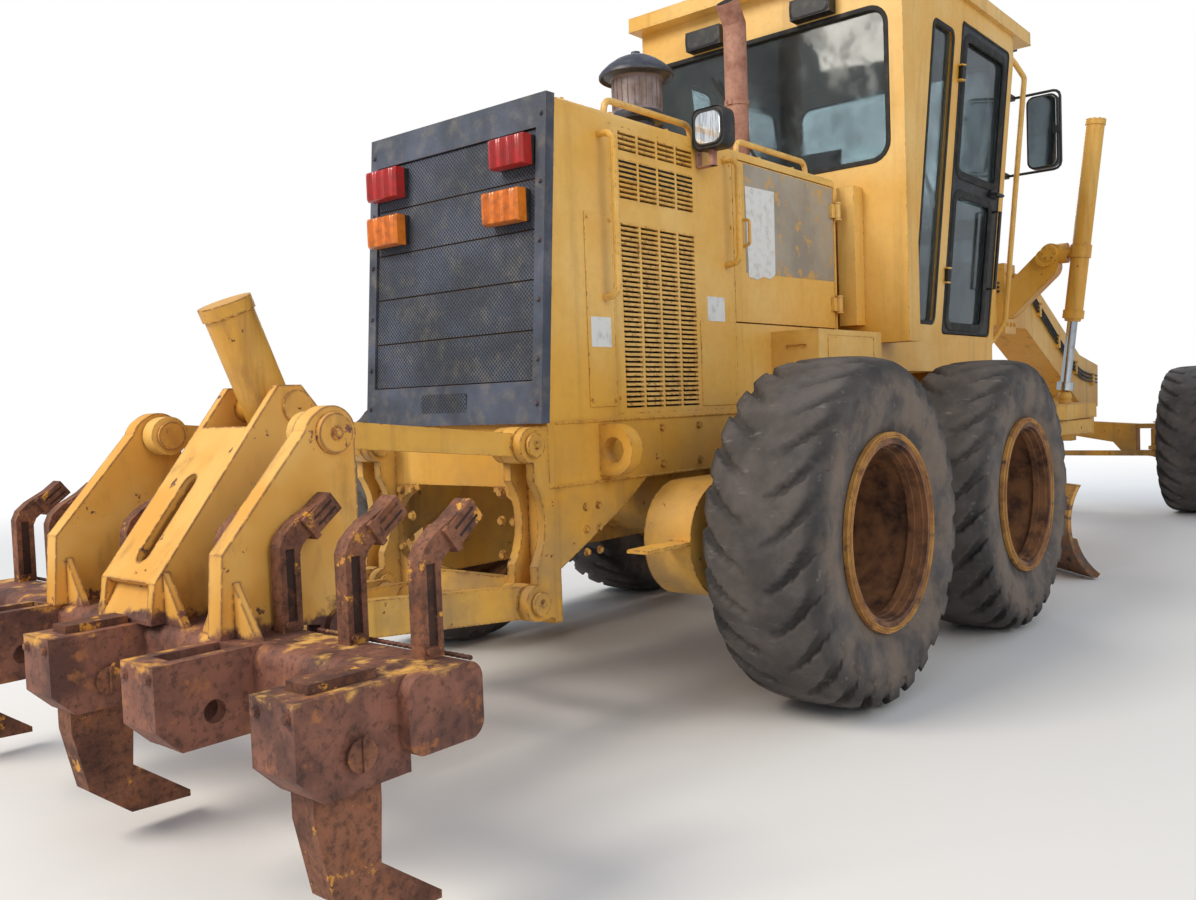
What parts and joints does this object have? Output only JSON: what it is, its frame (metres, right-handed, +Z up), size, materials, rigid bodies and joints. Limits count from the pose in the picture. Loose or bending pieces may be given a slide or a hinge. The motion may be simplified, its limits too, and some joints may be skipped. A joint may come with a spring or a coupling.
{
  "type": "motor grader",
  "caption": "Motor grader with an articulated frame, hollow cab, tandem drive wheels, circle-hung blade, steered front axle and a rear ripper with scarifier teeth.",
  "frame": {"origin": "on the ground, at the middle of the parked machine's box; the machine's own middle plane is at y = -0.125, because the parked blade reaches further out on the left", "axes": "+X forward, +Y to the machine's left, +Z up"},
  "size_m": [9.904, 2.8099, 3.335],
  "materials": {
    "frame_paint": "faded yellow paint, dusty and chipped",
    "cast_paint": "yellow paint over castings, chipped to rust",
    "dark_paint": "dark blue-grey paint",
    "rusty_steel": "rusted steel with remains of yellow paint",
    "rim_steel": "rusty rims with yellow lips",
    "tyre": "worn black rubber, dusty",
    "chrome": "hard chromed rods",
    "glass": "green tinted glass",
    "lamp_lens": "red and amber lenses",
    "black_plastic": "black plastic and foam",
    "block_iron": "dirty cast iron"
  },
  "bodies": {
    "rear_frame": {"rear_frame": "frame_paint", "ripper_bracket": "cast_paint", "tandem_cases": "cast_paint", "engine": "block_iron", "hood": "frame_paint", "louvre_panels": "frame_paint", "rear_grille": "dark_paint", "tail_lamps": "lamp_lens", "exhaust_stack": "rusty_steel", "precleaner": "black_plastic", "grab_rails": "frame_paint", "toolboxes": "frame_paint", "cab_shell": "frame_paint", "cab_glass": "glass", "seat": "black_plastic", "console": "black_plastic", "mirrors": "black_plastic", "work_lamps": "black_plastic"},
    "hood_door_right": {"hood_door_right": "frame_paint"},
    "hood_door_left": {"hood_door_left": "frame_paint"},
    "cab_door_right": {"cab_door_right": "frame_paint", "door_glass_right": "glass"},
    "cab_door_left": {"cab_door_left": "frame_paint", "door_glass_left": "glass"},
    "wheel_rear_right": {"tyre_rear_right": "tyre", "rim_rear_right": "rim_steel"},
    "wheel_rear_left": {"tyre_rear_left": "tyre", "rim_rear_left": "rim_steel"},
    "wheel_mid_right": {"tyre_mid_right": "tyre", "rim_mid_right": "rim_steel"},
    "wheel_mid_left": {"tyre_mid_left": "tyre", "rim_mid_left": "rim_steel"},
    "ripper_lower_link": {"ripper_lower_link": "cast_paint"},
    "ripper_upper_links": {"ripper_upper_links": "cast_paint"},
    "ripper_carriage": {"ripper_carriage": "cast_paint", "ripper_teeth": "rusty_steel"},
    "ripper_barrel": {"ripper_barrel": "cast_paint"},
    "ripper_rod": {"ripper_rod": "chrome"},
    "front_frame": {"front_frame": "frame_paint", "lift_saddle": "frame_paint", "front_axle": "frame_paint"},
    "lift_barrel_right": {"lift_barrel_right": "frame_paint"},
    "lift_barrel_left": {"lift_barrel_left": "frame_paint"},
    "lift_rod_right": {"lift_rod_right": "chrome"},
    "lift_rod_left": {"lift_rod_left": "chrome"},
    "drawbar": {"drawbar": "cast_paint"},
    "circle": {"circle": "cast_paint"},
    "blade_carrier": {"blade_carrier": "cast_paint", "shift_barrel": "cast_paint"},
    "moldboard": {"moldboard": "frame_paint", "shift_rod": "chrome"},
    "knuckle_right": {"knuckle_right": "cast_paint"},
    "knuckle_left": {"knuckle_left": "cast_paint"},
    "tie_rod": {"tie_rod": "cast_paint"},
    "wheel_front_right": {"tyre_front_right": "tyre", "rim_front_right": "rim_steel"},
    "wheel_front_left": {"tyre_front_left": "tyre", "rim_front_left": "rim_steel"}
  },
  "joints": [
    {"name": "hood_door_right_swing", "type": "hinge", "parent": "rear_frame", "child": "hood_door_right", "pos_m": [-1.336, -0.61, 1.467], "axis": [0, 0, 1], "range_deg": [0, 90]},
    {"name": "hood_door_left_swing", "type": "hinge", "parent": "rear_frame", "child": "hood_door_left", "pos_m": [-1.336, 0.36, 1.467], "axis": [0, 0, -1], "range_deg": [0, 90]},
    {"name": "cab_door_right_swing", "type": "hinge", "parent": "rear_frame", "child": "cab_door_right", "pos_m": [-0.396, -0.78869, 1.7367], "axis": [0, 0.0959, -0.9954], "range_deg": [0, 90]},
    {"name": "cab_door_left_swing", "type": "hinge", "parent": "rear_frame", "child": "cab_door_left", "pos_m": [-0.396, 0.53869, 1.7367], "axis": [0, 0.0959, 0.9954], "range_deg": [0, 90]},
    {"name": "wheel_rear_right_roll", "type": "hinge", "parent": "rear_frame", "child": "wheel_rear_right", "pos_m": [-2.5355, -1.185, 0.64], "axis": [0, 1, 0], "continuous": true},
    {"name": "wheel_rear_left_roll", "type": "hinge", "parent": "rear_frame", "child": "wheel_rear_left", "pos_m": [-2.5355, 0.935, 0.64], "axis": [0, 1, 0], "continuous": true},
    {"name": "wheel_mid_right_roll", "type": "hinge", "parent": "rear_frame", "child": "wheel_mid_right", "pos_m": [-1.0125, -1.185, 0.64], "axis": [0, 1, 0], "continuous": true},
    {"name": "wheel_mid_left_roll", "type": "hinge", "parent": "rear_frame", "child": "wheel_mid_left", "pos_m": [-1.0125, 0.935, 0.64], "axis": [0, 1, 0], "continuous": true},
    {"name": "ripper_lower_link_lift", "type": "hinge", "parent": "rear_frame", "child": "ripper_lower_link", "pos_m": [-3.551, -0.125, 0.481], "axis": [0, 1, 0], "range_deg": [-38.9, 35]},
    {"name": "ripper_upper_link_lift", "type": "hinge", "parent": "rear_frame", "child": "ripper_upper_links", "pos_m": [-3.551, -0.125, 1.01], "axis": [0, 1, 0], "range_deg": [-39, 35.1]},
    {"name": "ripper_carriage_pivot", "type": "hinge", "parent": "ripper_lower_link", "child": "ripper_carriage", "pos_m": [-4.359, -0.125, 0.558], "axis": [0, 1, 0], "range_deg": [-35.1, 39]},
    {"name": "ripper_barrel_pivot", "type": "hinge", "parent": "ripper_carriage", "child": "ripper_barrel", "pos_m": [-4.234, -0.125, 1.165], "axis": [0, 1, 0], "range_deg": [-12, 12]},
    {"name": "ripper_rod_slide", "type": "slide", "parent": "ripper_barrel", "child": "ripper_rod", "axis": [-0.381, 0, 0.9246], "range_m": [-0.25, 0.27]},
    {"name": "articulation", "type": "hinge", "parent": "rear_frame", "child": "front_frame", "pos_m": [0.176, -0.125, 0.9], "axis": [0, 0, -1], "range_deg": [-20, 20]},
    {"name": "drawbar_lift", "type": "hinge", "parent": "front_frame", "child": "drawbar", "pos_m": [3.876, -0.125, 0.76], "axis": [0, 1, 0], "range_deg": [-20.9, 13.4]},
    {"name": "lift_barrel_right_pivot", "type": "hinge", "parent": "front_frame", "child": "lift_barrel_right", "pos_m": [1.986, -0.847, 2.105], "axis": [0, 1, 0], "range_deg": [-8, 8]},
    {"name": "lift_rod_right_slide", "type": "slide", "parent": "lift_barrel_right", "child": "lift_rod_right", "axis": [0, -0.1253, 0.9921], "range_m": [-0.72, 0.46]},
    {"name": "lift_barrel_left_pivot", "type": "hinge", "parent": "front_frame", "child": "lift_barrel_left", "pos_m": [1.986, 0.597, 2.105], "axis": [0, 1, 0], "range_deg": [-8, 8]},
    {"name": "lift_rod_left_slide", "type": "slide", "parent": "lift_barrel_left", "child": "lift_rod_left", "axis": [0, 0.1253, 0.9921], "range_m": [-0.72, 0.46]},
    {"name": "circle_turn", "type": "hinge", "parent": "drawbar", "child": "circle", "pos_m": [1.966, -0.125, 0.85], "axis": [0, 0, 1], "continuous": true},
    {"name": "blade_tip", "type": "hinge", "parent": "circle", "child": "blade_carrier", "pos_m": [1.5983, 0.2427, 0.17], "axis": [0.7071, 0.7071, 0], "range_deg": [-5, 40]},
    {"name": "blade_side_shift", "type": "slide", "parent": "blade_carrier", "child": "moldboard", "axis": [0.7071, 0.7071, 0], "range_m": [-0.452, 0.723]},
    {"name": "steer_left", "type": "hinge", "parent": "front_frame", "child": "knuckle_left", "pos_m": [4.312, 0.615, 0.64], "axis": [0, 0, 1], "range_deg": [-47.5, 47.5]},
    {"name": "steer_right", "type": "hinge", "parent": "front_frame", "child": "knuckle_right", "pos_m": [4.312, -0.865, 0.64], "axis": [0, 0, 1], "range_deg": [-47.6, 47.6]},
    {"name": "tie_rod_pivot", "type": "hinge", "parent": "knuckle_left", "child": "tie_rod", "pos_m": [4.092, 0.615, 0.528], "axis": [0, 0, 1], "range_deg": [-47.6, 47.6]},
    {"name": "wheel_front_right_roll", "type": "hinge", "parent": "knuckle_right", "child": "wheel_front_right", "pos_m": [4.312, -1.165, 0.64], "axis": [0, 1, 0], "continuous": true},
    {"name": "wheel_front_left_roll", "type": "hinge", "parent": "knuckle_left", "child": "wheel_front_left", "pos_m": [4.312, 0.915, 0.64], "axis": [0, 1, 0], "continuous": true}
  ],
  "couplings": [
    {"joint": "ripper_upper_link_lift", "follows": "ripper_lower_link_lift", "ratio": 1},
    {"joint": "ripper_carriage_pivot", "follows": "ripper_lower_link_lift", "ratio": -1},
    {"joint": "ripper_barrel_pivot", "follows": "ripper_lower_link_lift", "ratio": 0.25},
    {"joint": "ripper_rod_slide", "follows": "ripper_lower_link_lift", "m_per_rad": -0.339},
    {"joint": "steer_right", "follows": "steer_left", "ratio": 1},
    {"joint": "tie_rod_pivot", "follows": "steer_left", "ratio": -1},
    {"joint": "lift_barrel_right_pivot", "follows": "drawbar_lift", "ratio": -0.2},
    {"joint": "lift_rod_right_slide", "follows": "drawbar_lift", "m_per_rad": 1.882},
    {"joint": "lift_barrel_left_pivot", "follows": "drawbar_lift", "ratio": -0.2},
    {"joint": "lift_rod_left_slide", "follows": "drawbar_lift", "m_per_rad": 1.882}
  ]
}
